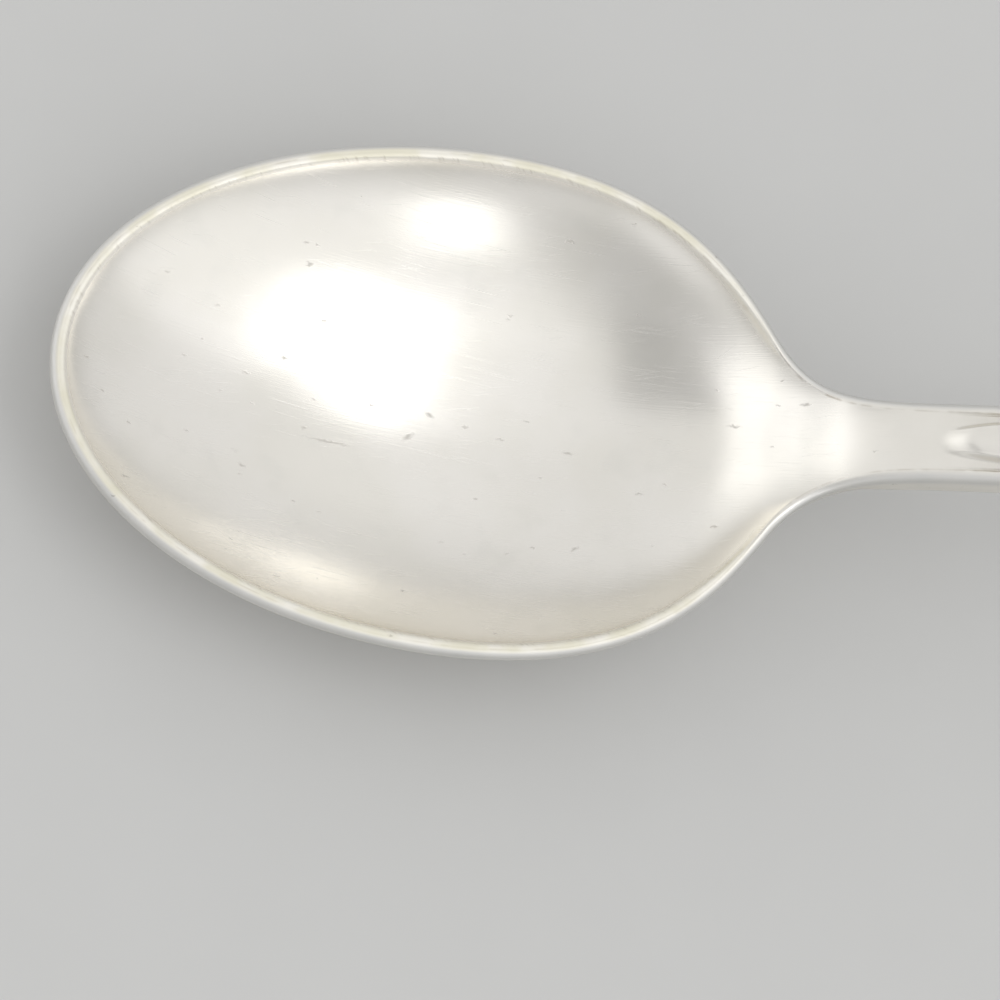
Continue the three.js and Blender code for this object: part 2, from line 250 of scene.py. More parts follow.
# Ribs run in plan from the centre line out to the edge; each has its edge point and its way inward
Ribs = namedtuple("Ribs", "spine edge inward")
FAN_SPREAD = 0.45                 # share of a rounded end's reach over which its ribs leave the centre line
FRONT_RIBS = 60
RIB_STEP = 0.5 * MM
RIBS_CLOSER = 4 * MM              # the ribs stand closer from this far before the throat
THROAT_RIB_STEP = 0.3 * MM


def fan_ribs(centre, reach, half, count):
    """Ribs of a rounded end, spread like a fan."""
    angle = np.linspace(0, math.pi / 2, count, endpoint=False)
    along, across = np.cos(angle), np.sin(angle)
    return Ribs(
        centre + reach * FAN_SPREAD * along,
        np.column_stack([centre + reach * along, half * across]),
        np.column_stack([-np.sign(reach) * along, -across]),
    )


def cross_ribs(x):
    """Ribs straight across the spoon at these places."""
    return Ribs(x, np.column_stack([x, half_width(x)]), np.column_stack([0 * x, -slant(x)]))


def join_ribs(*groups):
    return Ribs(*(np.concatenate(parts) for parts in zip(*groups)))


def steps(start, end, step):
    """Evenly spaced places that are at most a step apart."""
    return np.linspace(start, end, max(2, 1 + math.ceil((end - start) / step)))


bowl_ribs = join_ribs(
    fan_ribs(WIDEST, -BOWL_FRONT, BOWL_HALF, FRONT_RIBS),
    cross_ribs(steps(WIDEST, THROAT - RIBS_CLOSER, RIB_STEP)[:-1]),
    cross_ribs(steps(THROAT - RIBS_CLOSER, JOINT, THROAT_RIB_STEP)),
)

DISH_STEPS = 29
RIM_STEPS = 32
WALL_FOOT = 0.5 * MM              # the finely divided rim takes in this much of the wall inside it
ROUND_STEPS = 6
SIDE_STEPS = 3
BOWL_BENEATH_STEPS = 34
side_shares = np.linspace(0.2, 0.85, SIDE_STEPS)


def at_insets(ribs, insets):
    """Points this far in from the edge, the same along all ribs or a row of insets for each rib."""
    return ribs.edge[:, None] + ribs.inward[:, None] * np.atleast_2d(insets)[..., None]


def from_spine(ribs, inset, shares):
    """Points at these shares of the way from the centre line to an inset from the edge."""
    spine = np.column_stack([ribs.spine, 0 * ribs.spine])[:, None]
    return spine + (at_insets(ribs, np.reshape(inset, (-1, 1))) - spine) * np.asarray(shares)[None, :, None]


def crowded(count):
    """Shares from 0 to 1 that crowd towards the edge, where the surface is steepest."""
    return np.sin(np.linspace(0, math.pi / 2, count))


def rounded_edge(ribs):
    """Insets and drops of the rounded upper edge, from its top round to the side."""
    turn = np.linspace(0, math.pi / 2, ROUND_STEPS + 1)[1:]
    size = edge_round(ribs.spine)[:, None]
    return size * (1 - np.sin(turn)), size * (1 - np.cos(turn))


def with_height(plan, height):
    return np.dstack([plan, height])


def stand_on_table(sections):
    """Metal below the table is worn away, which leaves the small flats that the spoon stands on."""
    height = sections[..., 2]
    sections[..., 2] = (height + np.hypot(height, FOOT_SOFT)) / 2
    return sections


def bowl_sections(ribs):
    """Sections over the hollow, across the rim, round its edge and back beneath, with traces of wear."""
    at = ribs.spine[:, None]
    wall_foot = rim_width(at) + WALL_FOOT
    edge_insets, edge_drops = rounded_edge(ribs)
    insets = np.hstack([blend(wall_foot, edge_round(at), np.linspace(0, 1, RIM_STEPS)), edge_insets])
    dish = from_spine(ribs, wall_foot, crowded(DISH_STEPS + 1)[:-1])
    top = np.hstack([dish, at_insets(ribs, insets)])
    height = bowl_top(top[..., 0], top[..., 1])
    height[:, DISH_STEPS:] -= RIM_LINE_DEPTH * rim_line(at, insets)
    height[:, -ROUND_STEPS:] -= edge_drops
    beneath = from_spine(ribs, 0, crowded(BOWL_BENEATH_STEPS)[::-1])
    beneath_height = bowl_underside(beneath[..., 0], beneath[..., 1])
    side = at_insets(ribs, 0 * side_shares)
    side_top = edge_height(side[..., 0]) - edge_round(side[..., 0])
    side_height = blend(side_top, beneath_height[:, :1], side_shares)
    sections = np.hstack([
        with_height(top, height),
        with_height(side, side_height),
        with_height(beneath, beneath_height),
    ])
    far_in = BOWL_HALF
    from_edge = np.hstack([
        np.full(dish.shape[:2], far_in),
        insets,
        0 * side_height,
        np.full(beneath.shape[:2], far_in),
    ])
    down_side = np.hstack([0 * height, side_top - side_height, 0 * beneath_height])
    edge = worn_edge(at, from_edge)
    flat = smooth(RIM_WIDTH + RIM_SOFT, RIM_WIDTH - RIM_SOFT, from_edge)
    traces = {
        "worn_edge": edge * smooth(WORN_REACH, 0, down_side),
        "rim": rim_left(at) * smooth(RIM_WIDTH + RIM_RUBBED, RIM_WIDTH, from_edge),
        "rim_flat": rim_left(at) * flat * (1 - edge),
        "rim_line": rim_line(at, from_edge),
        "rim_corner": rim_left(at) * np.exp(-((from_edge - RIM_WIDTH) / RIM_CORNER)**2),
    }
    return stand_on_table(sections), traces


WELD = 0.0001 * MM                # points closer than this become one, which joins the two sides
SHARP_CORNER = math.radians(45)


def mirrored_piece(name, sections, square_end, traces):
    """A closed skin over the sections of one side and their mirror image, with traces of wear by point."""
    rows, columns, _ = sections.shape
    mirrored = sections * (1, -1, 1)
    index = np.arange(rows * columns).reshape(rows, columns)
    corners = [index[:-1, :-1], index[1:, :-1], index[1:, 1:], index[:-1, 1:]]
    quads = np.stack(corners, axis=-1).reshape(-1, 4)
    if square_end:
        half = columns // 2
        over, under = index[-1, :half], index[-1, :half - 1:-1]
        quads = np.vstack([quads, np.column_stack([over[:-1], under[:-1], under[1:], over[1:]])])
    faces = np.vstack([quads, quads[:, ::-1] + rows * columns]).tolist()
    mesh = bpy.data.meshes.new(name)
    mesh.from_pydata(np.vstack([sections.reshape(-1, 3), mirrored.reshape(-1, 3)]).tolist(), [], faces)
    for trace, amount in traces.items():
        layer = mesh.attributes.new(trace, "FLOAT", "POINT")
        layer.data.foreach_set("value", np.tile(amount.ravel(), 2).astype(np.float32))
    skin = bmesh.new()
    skin.from_mesh(mesh)
    bmesh.ops.remove_doubles(skin, verts=skin.verts, dist=WELD)
    bmesh.ops.recalc_face_normals(skin, faces=skin.faces)
    for face in skin.faces:
        face.smooth = True
    skin.to_mesh(mesh)
    skin.free()
    mesh.set_sharp_from_angle(angle=SHARP_CORNER)
    piece = bpy.data.objects.new(name, mesh)
    bpy.context.scene.collection.objects.link(piece)
    return piece


dish, dish_traces = bowl_sections(bowl_ribs)
bowl = mirrored_piece("spoon_bowl", dish, True, dish_traces)


class Value:
    """One value in a finish. Arithmetic on it adds Math nodes."""

    def __init__(self, finish, socket):
        self.finish = finish
        self.socket = socket

    def maths(self, operation, *values):
        return self.finish.node("ShaderNodeMath", {"operation": operation}, dict(enumerate(values)))["Value"]

    def __add__(self, other):
        return self.maths("ADD", self, other)

    def __sub__(self, other):
        return self.maths("SUBTRACT", self, other)

    def __rsub__(self, other):
        return self.maths("SUBTRACT", other, self)

    def __mul__(self, other):
        return self.maths("MULTIPLY", self, other)

    __radd__ = __add__
    __rmul__ = __mul__


class Finish:
    """The nodes of one finish. node() adds a node by its type, its settings and its sockets' values."""

    def __init__(self, tree):
        self.tree = tree
        self.tree.nodes.clear()

    def node(self, kind, settings=None, sockets=None):
        made = self.tree.nodes.new(kind)
        for name, setting in (settings or {}).items():
            setattr(made, name, setting)
        by_identifier = {socket.identifier: socket for socket in made.inputs}
        for name, value in (sockets or {}).items():
            socket = by_identifier.get(name) or made.inputs[name]
            if isinstance(value, Value):
                self.tree.links.new(value.socket, socket)
            else:
                socket.default_value = value
        return {output.identifier: Value(self, output) for output in made.outputs}


def ramp(value, low, high):
    """Rises smoothly from 0 to 1 while the value goes from low to high."""
    sockets = {"Value": value, "From Min": low, "From Max": high}
    return value.finish.node("ShaderNodeMapRange", {"interpolation_type": "SMOOTHSTEP"}, sockets)["Result"]


def tint(amount, under, over):
    sockets = {"Factor_Float": amount, "A_Color": under, "B_Color": over}
    return amount.finish.node("ShaderNodeMix", {"data_type": "RGBA"}, sockets)["Result_Color"]


def laid_out(place, size, turn=0, middle=(0, 0, 0)):
    """The place measured from a middle, turned about the vertical by degrees and divided by a size."""
    sockets = {"Vector": place, "Location": middle, "Rotation": (0, 0, math.radians(turn)), "Scale": size}
    return place.finish.node("ShaderNodeMapping", {"vector_type": "TEXTURE"}, sockets)["Vector"]


def noise(spread, detail):
    return spread.finish.node("ShaderNodeTexNoise", None, {"Vector": spread, "Scale": 1.0, "Detail": detail})


def clouds(place, size, detail=3.0):
    return noise(laid_out(place, (size, size, size)), detail)["Fac"]


STREAK_DEPTH = 40                 # in widths, so that hairlines run on over the slopes


def streaks(place, length, width, turn, detail=1.0):
    """Noise drawn out into hairlines of about this length and width."""
    return noise(laid_out(place, (length, width, STREAK_DEPTH * width), turn), detail)["Fac"]


def ragged(place, size, spread):
    """The place shifted a little by fine noise, so that marks get uneven edges."""
    shift = noise(laid_out(place, (size, size, size)), 1.0)["Color"]
    middle = {0: shift, 1: (0.5, 0.5, 0.5)}
    centred = place.finish.node("ShaderNodeVectorMath", {"operation": "SUBTRACT"}, middle)["Vector"]
    sockets = {0: centred, 1: (spread, spread, spread), 2: place}
    return place.finish.node("ShaderNodeVectorMath", {"operation": "MULTIPLY_ADD"}, sockets)["Vector"]


DASH_LENGTH = 3                   # in widths
DASH_TURN = -6


def specks(place, spacing, size, rarity):
    """Short dashes scattered one to a cell, in the few cells whose own random number passes the rarity."""
    cells = laid_out(place, (DASH_LENGTH * spacing, spacing, DASH_LENGTH * spacing), DASH_TURN)
    found = place.finish.node("ShaderNodeTexVoronoi", None, {"Vector": cells, "Scale": 1.0})
    chance = place.finish.node("ShaderNodeSeparateColor", None, {"Color": found["Color"]})["Red"]
    near = 1 - ramp(found["Distance"], 0.35 * size / spacing, size / spacing)
    return near * ramp(chance, rarity, rarity + 0.05)


# A dark mark on the bowl, in millimetres from the tip and the middle and in degrees of its direction
Mark = namedtuple("Mark", "from_tip across length width turn")


def marked(place, mark):
    middle = (TIP + mark.from_tip * MM, mark.across * MM, 0)
    flat = laid_out(place, (mark.length * MM / 2, mark.width * MM / 2, 1), mark.turn, middle)
    apart = place.finish.node("ShaderNodeVectorMath", {"operation": "LENGTH"}, {0: flat})["Value"]
    return 1 - ramp(apart, 0.0, 1.0)


SILVER = (0.87, 0.845, 0.785, 1)
CLEAN_SILVER = (0.90, 0.875, 0.825, 1)
DULL_SILVER = (0.80, 0.785, 0.735, 1)
WORN_EDGE = (0.70, 0.70, 0.69, 1)
RIM_TARNISH = (0.78, 0.75, 0.62, 1)
LINE_TARNISH = (0.33, 0.27, 0.20, 1)
RECESS_TARNISH = (0.46, 0.43, 0.37, 1)
PIT_DIRT = (0.27, 0.25, 0.22, 1)
POLISH_ROUGHNESS = 0.13
HAIRLINE_WIDTH = 0.06 * MM
HAIRLINE_DEPTH = 0.004 * MM
NECK_DULL = 0.14                  # roughness that the neck has more than the bowl
NECK_DULL_RUN = 20 * MM           # the handle grows brighter again over this length


def worn_silver(name, marks=()):
    """Polished silver plate with hairlines mostly along the spoon, pits, soft clouds and old tarnish."""
    material = bpy.data.materials.new(name)
    material.use_nodes = True
    finish = Finish(material.node_tree)
    place = finish.node("ShaderNodeTexCoord")["Object"]
    along = finish.node("ShaderNodeSeparateXYZ", None, {"Vector": place})["X"]

    def trace(left_by):
        """Wear that is stored with the mesh, or 0 on a piece that has none of that kind."""
        return finish.node("ShaderNodeAttribute", {"attribute_name": left_by})["Fac"]

    cloud = clouds(place, 7 * MM)
    patches = clouds(place, 2.2 * MM)
    brushing = streaks(place, 6 * MM, HAIRLINE_WIDTH, -4, 2.0)
    scratches = (
        ramp(streaks(place, 5 * MM, HAIRLINE_WIDTH, -7), 0.66, 0.76)
        + ramp(streaks(place, 3.5 * MM, HAIRLINE_WIDTH, 9), 0.69, 0.78)
        + ramp(streaks(place, 2.4 * MM, HAIRLINE_WIDTH, 40), 0.74, 0.82) * 0.5
    )
    uneven = ragged(place, 0.25 * MM, 0.3 * MM)
    pits = specks(uneven, 1.1 * MM, 0.12 * MM, 0.8) * 0.8 + specks(uneven, 0.6 * MM, 0.07 * MM, 0.75) * 0.7
    for mark in marks:
        pits = pits + marked(uneven, mark)
    by_neck = ramp(along, THROAT, JOINT) * (1 - ramp(along, NECK, NECK + NECK_DULL_RUN))
    dull = by_neck * (1 - trace("raised") * 0.5)

    # The rounded edge is rubbed bare in patches, and a broken line of tarnish runs inside it
    edge = trace("worn_edge")
    broken = ramp(clouds(place, 0.9 * MM, 1.0), 0.35, 0.6)
    by_shoulder = ramp(along, SHOULDER + RIM_FADE_FROM, SHOULDER + RIM_FADE_TO)
    line = trace("rim_line") * broken * (ramp(cloud, 0.42, 0.62) + by_shoulder * 0.6)

    # The flat rim and the struck grooves are tarnished, and slanting nicks follow the rim's inner corner
    rim_stain = trace("rim_flat") * (0.2 + ramp(patches, 0.3, 0.65) * 0.7)
    nicks = trace("rim_corner") * ramp(streaks(place, 0.7 * MM, 0.14 * MM, -40), 0.56, 0.68)
    recess_stain = trace("recess") * (0.35 + ramp(patches, 0.3, 0.7) * 0.5)

    colour = tint(ramp(cloud, 0.35, 0.65), SILVER, CLEAN_SILVER)
    for amount, stain in [
        (ramp(patches, 0.5, 0.8) * 0.35, DULL_SILVER),
        (scratches * 0.16, DULL_SILVER),
        (edge * (0.45 + patches * 0.5), WORN_EDGE),
        (line * 0.4, LINE_TARNISH),
        (rim_stain, RIM_TARNISH),
        (nicks * 0.2, LINE_TARNISH),
        (recess_stain, RECESS_TARNISH),
        (pits * 0.42, PIT_DIRT),
    ]:
        colour = tint(amount, colour, stain)

    roughness = POLISH_ROUGHNESS
    for amount, rougher in [
        (cloud, 0.1),
        (patches, 0.05),
        (brushing, 0.06),
        (scratches, 0.06),
        (pits, 0.25),
        (dull, NECK_DULL),
        (edge, 0.15),
        (trace("rim"), 0.2),
        (rim_stain, 0.06),
        (recess_stain, 0.15),
    ]:
        roughness = roughness + amount * rougher

    dents = scratches * 0.28 + pits * 1.5 + nicks * 2
    bump = {"Strength": 1.0, "Distance": HAIRLINE_DEPTH, "Height": brushing * 0.8 - dents}
    sockets = {
        "Base Color": colour,
        "Metallic": 1.0,
        "Roughness": roughness,
        "Normal": finish.node("ShaderNodeBump", None, bump)["Normal"],
    }
    shader = finish.node("ShaderNodeBsdfPrincipled", None, sockets)["BSDF"]
    finish.node("ShaderNodeOutputMaterial", None, {"Surface": shader})
    return material


bowl_marks = [
    Mark(8.2, 1.7, 0.5, 0.2, 0),
    Mark(12.1, 1.5, 0.6, 0.25, 0),
    Mark(14.4, 2.8, 0.6, 0.2, 5),
    Mark(14.8, 9.4, 0.5, 0.2, 10),
    Mark(15.2, 8.3, 0.7, 0.25, 10),
    Mark(16.0, -1.2, 0.6, 0.3, -8),
    Mark(16.5, 5.4, 0.5, 0.25, 0),
    Mark(17.5, -1.8, 4.2, 0.25, -2),
    Mark(22.4, -0.7, 1.1, 0.4, 30),
    Mark(23.6, 0.8, 0.9, 0.35, -20),
    Mark(28.0, -0.2, 0.8, 0.2, -4),
    Mark(29.5, 1.1, 0.6, 0.2, -4),
    Mark(32.1, -0.7, 0.9, 0.22, -6),
    Mark(32.6, -7.0, 0.8, 0.25, 40),
    Mark(36.3, -3.1, 0.7, 0.2, 0),
    Mark(40.4, -5.3, 0.7, 0.25, 0),
    Mark(41.4, 1.2, 1.0, 0.22, -5),
    Mark(45.0, 2.3, 0.8, 0.25, 0),
]
bowl.data.materials.append(worn_silver("bowl_silver", bowl_marks))
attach(bowl, "root")
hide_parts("bowl")


# Handle: a struck bar of the same metal, plain at the neck, then with a thread along each edge, a sunk
# channel and a raised middle panel that starts in a round nose. Its tongue is filed thin, laps under the
# heel of the bowl as a drop and is soldered there, with a small fillet of solder along its sides.
handle_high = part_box("handle")[1]
END = handle_high.x
END_HALF = handle_high.y

STEM_STRAIGHT = 52 * MM           # length over which the neck stays straight towards the end
END_ROUND = 9 * MM                # length of the rounded end beyond its widest point
END_FLARE = 18 * MM               # length over which the widest part of the end stays straight
ARCH_FROM_TIP = 90 * MM
ARCH_HEIGHT = 18.5 * MM
ARCH_EASE = 36 * MM               # the bend over the arch comes on gradually, this far to each side
END_HEIGHT = 1.05 * MM

NECK_SIDE = 2.5 * MM              # height of its sides, without the crown beneath
NECK_CROWN = 0.7 * MM
END_SIDE = 1 * MM
END_CROWN = 0.4 * MM
BORDER_WIDTH = 0.58 * MM          # thread along the edge, most of it the edge's own rounding
BORDER_GROOVE = 0.2 * MM
GROOVE_WIDTH = 0.25 * MM
CHANNEL_DEPTH = 0.1 * MM          # between the border and the raised panel
BORDER_FADE = 6 * MM              # length over which the channels sink in behind the joint
PANEL_INSET = 1.1 * MM            # from the edge to the foot of the raised panel's slope
PANEL_SLOPE = 0.35 * MM
PANEL_MARGIN = 0.1 * MM           # flat strip that the finely divided border takes in of the panel's top
PANEL_RISE = 0.42 * MM
PANEL_CROWN = 0.06 * MM
PANEL_WIDENS = 4 * MM             # length over which the panel widens behind its nose
NOSE_BEFORE_NECK = 1.2 * MM       # the panel starts in a narrow nose this far before the neck
NOSE_INSET = 1.5 * MM
NOSE_LENGTH = 2 * MM
NOSE_ROUND = 1.2 * MM             # less makes the nose more pointed
TONGUE_LENGTH = 11.5 * MM
TONGUE_SIDE = 0.4 * MM            # at the tongue's rounded tip
TONGUE_CROWN = 0.35 * MM
SOLDER_FILLET = 0.25 * MM
SOLDER_ENDS = 4 * MM              # the fillet runs out over this length before the joint
SOLDER_SINK = 0.02 * MM           # the tongue beds this far into the solder under the bowl

END_WIDEST = END - END_ROUND
ARCH = TIP + ARCH_FROM_TIP
NOSE = NECK - NOSE_BEFORE_NECK
TONGUE_HALF = float(half_width(JOINT))
TONGUE_TIP = JOINT - TONGUE_LENGTH

# The outline and the upper edge of the bowl go on along the handle
stem_leads = (NECK + STEM_STRAIGHT, NECK_HALF), (END_WIDEST - END_FLARE, END_HALF)
sides = np.vstack([
    sides,
    cubic_stretch((NECK, NECK_HALF), *stem_leads, (END_WIDEST, END_HALF)),
    [(END_WIDEST, END_HALF, 0)],
])
edge_stations += [(ARCH, ARCH_HEIGHT, 0), (END, END_HEIGHT, 0)]


def stem_height(x):
    """Upper edge of the handle, eased by a third of a millimetre at most before and behind the arch."""
    climb, fall = ARCH - NECK, END - ARCH
    bend_before = (6 * (NECK_HEIGHT - ARCH_HEIGHT) + 2 * NECK_RISE * climb) / climb**2
    bend_behind = 6 * (END_HEIGHT - ARCH_HEIGHT) / fall**2
    share = np.clip((x - ARCH) / ARCH_EASE, -1, 1)
    ease = ARCH_EASE**2 * share * abs(share) / 4 * (1 - abs(share))**3
    return edge_height(x) + (bend_before - bend_behind) * ease


def border_relief(x, inset):
    """Thread, groove and channel along the edge, which sink in behind the joint."""
    sunk = smooth(JOINT, JOINT + BORDER_FADE, x)
    channel = CHANNEL_DEPTH * smooth(BORDER_WIDTH, BORDER_WIDTH + GROOVE_WIDTH, inset)
    from_groove = (inset - BORDER_WIDTH - GROOVE_WIDTH / 2) / (GROOVE_WIDTH / 2)
    groove = (BORDER_GROOVE - CHANNEL_DEPTH / 2) * np.clip(1 - from_groove**2, 0, None)**2
    return -sunk * (channel + groove)


def panel_foot(x):
    """Inset of the panel's foot: the panel widens behind its nose."""
    return blend(NOSE_INSET, PANEL_INSET, smooth(NOSE, NOSE + PANEL_WIDENS, x))


def panel_height(x, y):
    nose_front = NOSE + y**2 / NOSE_ROUND
    return PANEL_RISE * smooth(nose_front, nose_front + NOSE_LENGTH, x)


def handle_thickness(x):
    share = smooth(NECK, END, x)
    return blend(NECK_SIDE, END_SIDE, share), blend(NECK_CROWN, END_CROWN, share)


def crown_shape(share):
    return (1 - share**2)**BOWL_FULLNESS


NOSE_RIB_STEP = 0.22 * MM
STEM_RIB_STEP = 0.8 * MM
END_RIBS = 36
TONGUE_RIBS = 24
TONGUE_RIB_STEP = 0.5 * MM
PANEL_STEPS = 13
BORDER_STEPS = 34
FLANK_STEPS = 5
HANDLE_BENEATH_STEPS = 26
panel_shares = np.linspace(0, 1, PANEL_STEPS, endpoint=False)
flank_shares = np.linspace(0.08, 0.92, FLANK_STEPS)
beneath_shares = crowded(HANDLE_BENEATH_STEPS)[::-1]


def handle_ribs():
    pattern_end = NOSE + PANEL_WIDENS
    return join_ribs(
        cross_ribs(steps(JOINT, pattern_end, NOSE_RIB_STEP)),
        cross_ribs(steps(pattern_end, END_WIDEST, STEM_RIB_STEP)[1:]),
        Ribs(*(part[::-1] for part in fan_ribs(END_WIDEST, END_ROUND, END_HALF, END_RIBS))),
    )


def handle_sections(ribs):
    """Sections over the struck pattern, round the edge and back beneath, with traces of wear."""
    foot = panel_foot(ribs.spine)[:, None]
    panel_edge = foot + PANEL_SLOPE + PANEL_MARGIN
    edge_insets, edge_drops = rounded_edge(ribs)
    border_insets = np.hstack([blend(panel_edge, NECK_ROUND, np.linspace(0, 1, BORDER_STEPS)), edge_insets])
    insets = np.hstack([np.repeat(panel_edge, len(panel_shares), axis=1), border_insets])
    top = np.hstack([from_spine(ribs, panel_edge, panel_shares), at_insets(ribs, border_insets)])
    x, y = top[..., 0], top[..., 1]
    crowns = np.concatenate([1 - panel_shares**2, np.zeros(border_insets.shape[1])])
    panel = panel_height(x, y) * (1 + PANEL_CROWN / PANEL_RISE * crowns)
    relief = blend(border_relief(x, insets), panel, smooth(foot, foot + PANEL_SLOPE, insets))
    height = stem_height(x) + relief
    height[:, -ROUND_STEPS:] -= edge_drops
    beneath = from_spine(ribs, 0, beneath_shares)
    side, crown = handle_thickness(beneath[..., 0])
    beneath_height = stem_height(beneath[..., 0]) - side - crown * crown_shape(beneath_shares)
    flank = at_insets(ribs, 0 * flank_shares)
    flank_top = stem_height(flank[..., 0]) - NECK_ROUND
    flank_height = blend(flank_top, beneath_height[:, :1], flank_shares)
    sections = np.hstack([
        with_height(top, height),
        with_height(flank, flank_height),
        with_height(beneath, beneath_height),
    ])
    elsewhere = np.zeros((len(sections), len(flank_shares) + len(beneath_shares)))
    rubbed_flank = smooth(WORN_REACH, 0, flank_top - flank_height)
    traces = {
        "recess": np.hstack([np.clip(-relief / BORDER_GROOVE, 0, 1), elsewhere]),
        "raised": np.hstack([np.clip(relief / PANEL_RISE, 0, 1), elsewhere]),
        "rim_line": np.hstack([rim_line(x, insets), elsewhere]),
        "worn_edge": np.hstack([worn_edge(x, insets), rubbed_flank, 0 * beneath_height]),
    }
    return sections, traces


def tongue_sections():
    """The tongue follows the underside of the bowl and grows thinner towards its rounded tip."""
    round_from = TONGUE_TIP + TONGUE_HALF
    tip = fan_ribs(round_from, -TONGUE_HALF, TONGUE_HALF, TONGUE_RIBS)
    x = steps(round_from, JOINT - SOLDER_SINK, TONGUE_RIB_STEP)
    straight = Ribs(x, np.column_stack([x, 0 * x + TONGUE_HALF]), np.column_stack([0 * x, 0 * x - 1]))
    ribs = join_ribs(tip, straight)
    columns = len(panel_shares) + BORDER_STEPS + ROUND_STEPS
    top = from_spine(ribs, 0, np.linspace(0, 1, columns))
    top_height = bowl_underside(top[..., 0], top[..., 1]) + SOLDER_SINK
    thin = smooth(TONGUE_TIP, JOINT, ribs.spine)[:, None]
    side_at_joint = NECK_SIDE - HEEL_HEIGHT
    crown_at_joint = NECK_CROWN - (BOWL_SHEET - RIM_HEIGHT)
    side = blend(TONGUE_SIDE, side_at_joint, thin)
    crown = blend(TONGUE_CROWN, crown_at_joint, thin)
    beneath = from_spine(ribs, 0, beneath_shares)
    carried = bowl_underside(beneath[..., 0], beneath[..., 1])
    beneath_height = carried - side - crown * crown_shape(beneath_shares)
    spill = SOLDER_FILLET * (1 - smooth(JOINT - SOLDER_ENDS, JOINT, ribs.spine))[:, None]
    flank = at_insets(ribs, -spill * (1 - flank_shares)**3)
    flank_height = bowl_underside(flank[..., 0], flank[..., 1]) - side * flank_shares + SOLDER_SINK
    return np.hstack([
        with_height(top, top_height),
        with_height(flank, flank_height),
        with_height(beneath, beneath_height),
    ])


tongue = tongue_sections()
stem, stem_traces = handle_sections(handle_ribs())
handle = mirrored_piece(
    "spoon_handle",
    stand_on_table(np.concatenate([tongue, stem])),
    False,
    {name: np.concatenate([np.zeros(tongue.shape[:2]), trace]) for name, trace in stem_traces.items()},
)
handle.data.materials.append(worn_silver("handle_silver"))
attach(handle, "root")
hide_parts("handle")


# Table and studio: a pale table top of plain painted board in a room of soft light. One large soft box
# hangs overhead in two panels, the second one shorter, and a small box stands beside the spoon.
TABLE_SIZE = 3.0
TABLE_DROP = 0.02 * MM            # keeps the board clear of the flats that the spoon stands on
BOARD_PAINT = (0.60, 0.60, 0.59, 1)
BOARD_PALER = (0.618, 0.618, 0.6077, 1)

half_table = TABLE_SIZE / 2
table_corners = [
    (-half_table, -half_table, 0),
    (half_table, -half_table, 0),
    (half_table, half_table, 0),
    (-half_table, half_table, 0),
]
table_mesh = bpy.data.meshes.new("table_top")
table_mesh.from_pydata(table_corners, [], [(0, 1, 2, 3)])
table = bpy.data.objects.new("table_top", table_mesh)
table.location.z = -TABLE_DROP
bpy.context.scene.collection.objects.link(table)


def painted_board():
    material = bpy.data.materials.new("painted_board")
    material.use_nodes = True
    finish = Finish(material.node_tree)
    place = finish.node("ShaderNodeTexCoord")["Object"]
    colour = tint(clouds(place, 6 * MM), BOARD_PAINT, BOARD_PALER)
    shader = finish.node("ShaderNodeBsdfPrincipled", None, {"Base Color": colour, "Roughness": 0.7})["BSDF"]
    finish.node("ShaderNodeOutputMaterial", None, {"Surface": shader})
    return material


table_mesh.materials.append(painted_board())

BOWL_MIDDLE = Vector((WIDEST, 0, RIM_AT_WIDEST))
BOX_HEIGHT = 0.8                  # above the bowl
BOX_BRIGHTNESS = 1.35
PANEL_ACROSS = 0.15
SIDE_BOX_AZIMUTH = -78
SIDE_BOX_ELEVATION = 36
SIDE_BOX_AWAY = 0.7
SIDE_BOX_BRIGHTNESS = 1.25


def towards(azimuth, elevation):
    """Direction from the bowl, by its angle from +X round the vertical and its angle above the table."""
    flat = math.cos(math.radians(elevation))
    turn = math.radians(azimuth)
    return Vector((flat * math.cos(turn), flat * math.sin(turn), math.sin(math.radians(elevation))))


def soft_box(name, middle, width, length, brightness):
    """A rectangular lamp that faces down until it is turned. A mirror would show its brightness."""
    data = bpy.data.lights.new(name, "AREA")
    data.shape = "RECTANGLE"
    data.size = width
    data.size_y = length
    data.energy = brightness * math.pi * width * length
    lamp = bpy.data.objects.new(name, data)
    lamp.location = BOWL_MIDDLE + middle
    lamp.visible_camera = False
    bpy.context.scene.collection.objects.link(lamp)
    return lamp


soft_box("overhead_box", Vector((0.24, -0.045, BOX_HEIGHT)), PANEL_ACROSS, 0.63, BOX_BRIGHTNESS)
soft_box("overhead_panel", Vector((0.39, -0.22, BOX_HEIGHT)), PANEL_ACROSS, 0.52, BOX_BRIGHTNESS)

side_place = towards(SIDE_BOX_AZIMUTH, SIDE_BOX_ELEVATION) * SIDE_BOX_AWAY
side_box = soft_box("side_box", side_place, 0.1, 0.24, SIDE_BOX_BRIGHTNESS)
side_box.rotation_euler = (math.radians(90 - SIDE_BOX_ELEVATION), 0, math.radians(90 + SIDE_BOX_AZIMUTH))

world = bpy.data.worlds.new("soft_room")
bpy.context.scene.world = world
world.use_nodes = True
room = Finish(world.node_tree)
facing = room.node("ShaderNodeTexCoord")["Generated"]


def beyond(direction, low, high):
    """Rises from 0 to 1 across the part of the room that lies between two distances along a direction."""
    sockets = {0: facing, 1: direction}
    along = room.node("ShaderNodeVectorMath", {"operation": "DOT_PRODUCT"}, sockets)["Value"]
    return ramp(along, low, high)


def glow(azimuth, elevation, inner, outer):
    """A soft round patch of the room, by the direction of its middle and its inner and outer angles."""
    return beyond(towards(azimuth, elevation), math.cos(math.radians(outer)), math.cos(math.radians(inner)))


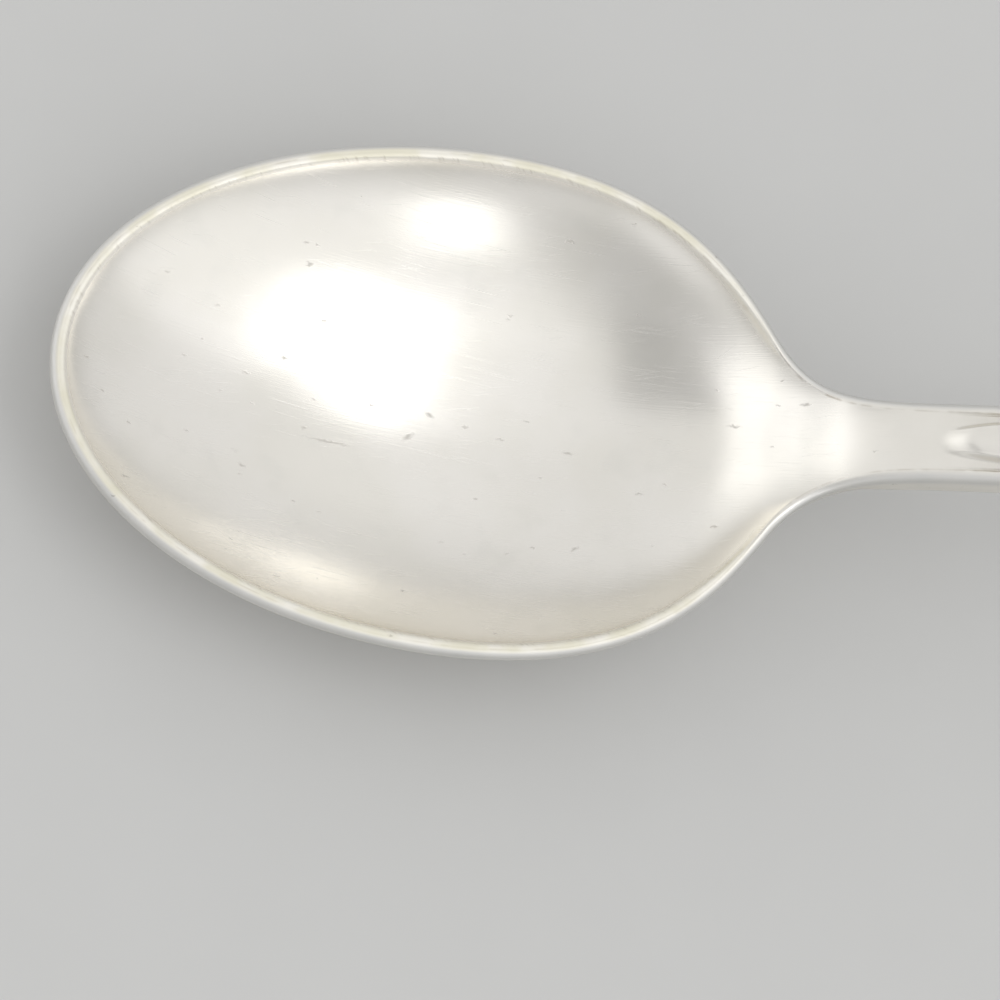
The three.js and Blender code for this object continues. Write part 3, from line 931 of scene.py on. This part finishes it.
UP = (0, 0, 1)
WALL_LIGHT = 0.52                 # at the foot of the walls
UPPER_LIGHT = 0.28                # this much more up the walls
CEILING_LIGHT = 0.08              # and this much more again overhead
BRIGHT_WALL_LIGHT = 0.55
SPILL_LIGHT = 0.2
NEAR_WALL_SHADE = 0.18
CORNER_SHADE = 0.08
CORNER_DEEPEST = 0.25

room_light = WALL_LIGHT + beyond(UP, 0.0, 0.35) * UPPER_LIGHT + beyond(UP, 0.85, 1.0) * CEILING_LIGHT

# The wall beyond the tip of the bowl is the brightest
bright_wall = beyond((-1, -0.1, -1.05), 0.0, 0.12) * glow(170, 22, 20, 42)
room_light = room_light + bright_wall * BRIGHT_WALL_LIGHT

# The near side of the room is in shade, deepest in the corner by the bowl's tip
near_side = beyond((0, -1, 0), -0.07, 0.0) * beyond(UP, 0.2, 0.5)
near_wall = beyond((-0.93, -0.25, -0.28), -0.02, 0.06) * beyond((0, -0.91, -0.41), -0.03, 0.06)
near_corner = beyond((-0.93, 0, -0.37), -0.045, 0.02)
corner_shade = CORNER_SHADE + glow(-168, 60, 8, 26) * CORNER_DEEPEST
near_shade = near_wall * NEAR_WALL_SHADE + near_corner * corner_shade
room_light = room_light - near_side * (1 - bright_wall) * near_shade

# The soft boxes spill some light on the wall beside them
box_spill = beyond((-0.34, -0.86, 0.37), -0.03, 0.05) * glow(-28, 44, 12, 44)
room_light = room_light + box_spill * SPILL_LIGHT

# Other patches that are lighter or dimmer than the walls: direction, inner and outer angle, and light
for azimuth, elevation, inner, outer, light in [
    (-122, 2, 8, 22, 0.2),
    (127, 2, 8, 22, 0.2),
    (-43, 0, 8, 20, 0.15),
    (-100, 62, 4, 18, 0.13),
    (68, 50, 6, 20, 0.07),
    (8, 14, 10, 30, -0.06),
    (80, 4, 12, 28, -0.07),
]:
    room_light = room_light + glow(azimuth, elevation, inner, outer) * light

grey = room.node("ShaderNodeCombineColor", None, dict.fromkeys(("Red", "Green", "Blue"), room_light))["Color"]
lit = room.node("ShaderNodeBackground", None, {"Color": grey, "Strength": 1.0})["Background"]
room.node("ShaderNodeOutputWorld", None, {"Surface": lit})


# Camera: it looks down on the bowl from close by, a little from the front and from one side, with the
# handle leaving the picture on the right. It is turned about a point in the middle of the bowl.
CAMERA_TILT = Euler((math.radians(14.98), math.radians(-12.75), math.radians(4.14)))
CAMERA_AIM = Vector((TIP + 25 * MM, 0, 8 * MM))
CAMERA_OFFSET = Vector((1.42 * MM, -5.94 * MM, 260 * MM))
CAMERA_SENSOR = 36                # millimetres, and so is the lens
CAMERA_LENS = 159.4
CAMERA_NEAREST = 10 * MM

camera_data = bpy.data.cameras.new("camera")
camera_data.sensor_width = CAMERA_SENSOR
camera_data.lens = CAMERA_LENS
camera_data.clip_start = CAMERA_NEAREST
camera = bpy.data.objects.new("camera", camera_data)
camera.rotation_euler = CAMERA_TILT
camera.location = CAMERA_AIM + CAMERA_TILT.to_matrix() @ CAMERA_OFFSET
bpy.context.scene.collection.objects.link(camera)
bpy.context.scene.camera = camera
bpy.context.scene.view_settings.view_transform = "Standard"
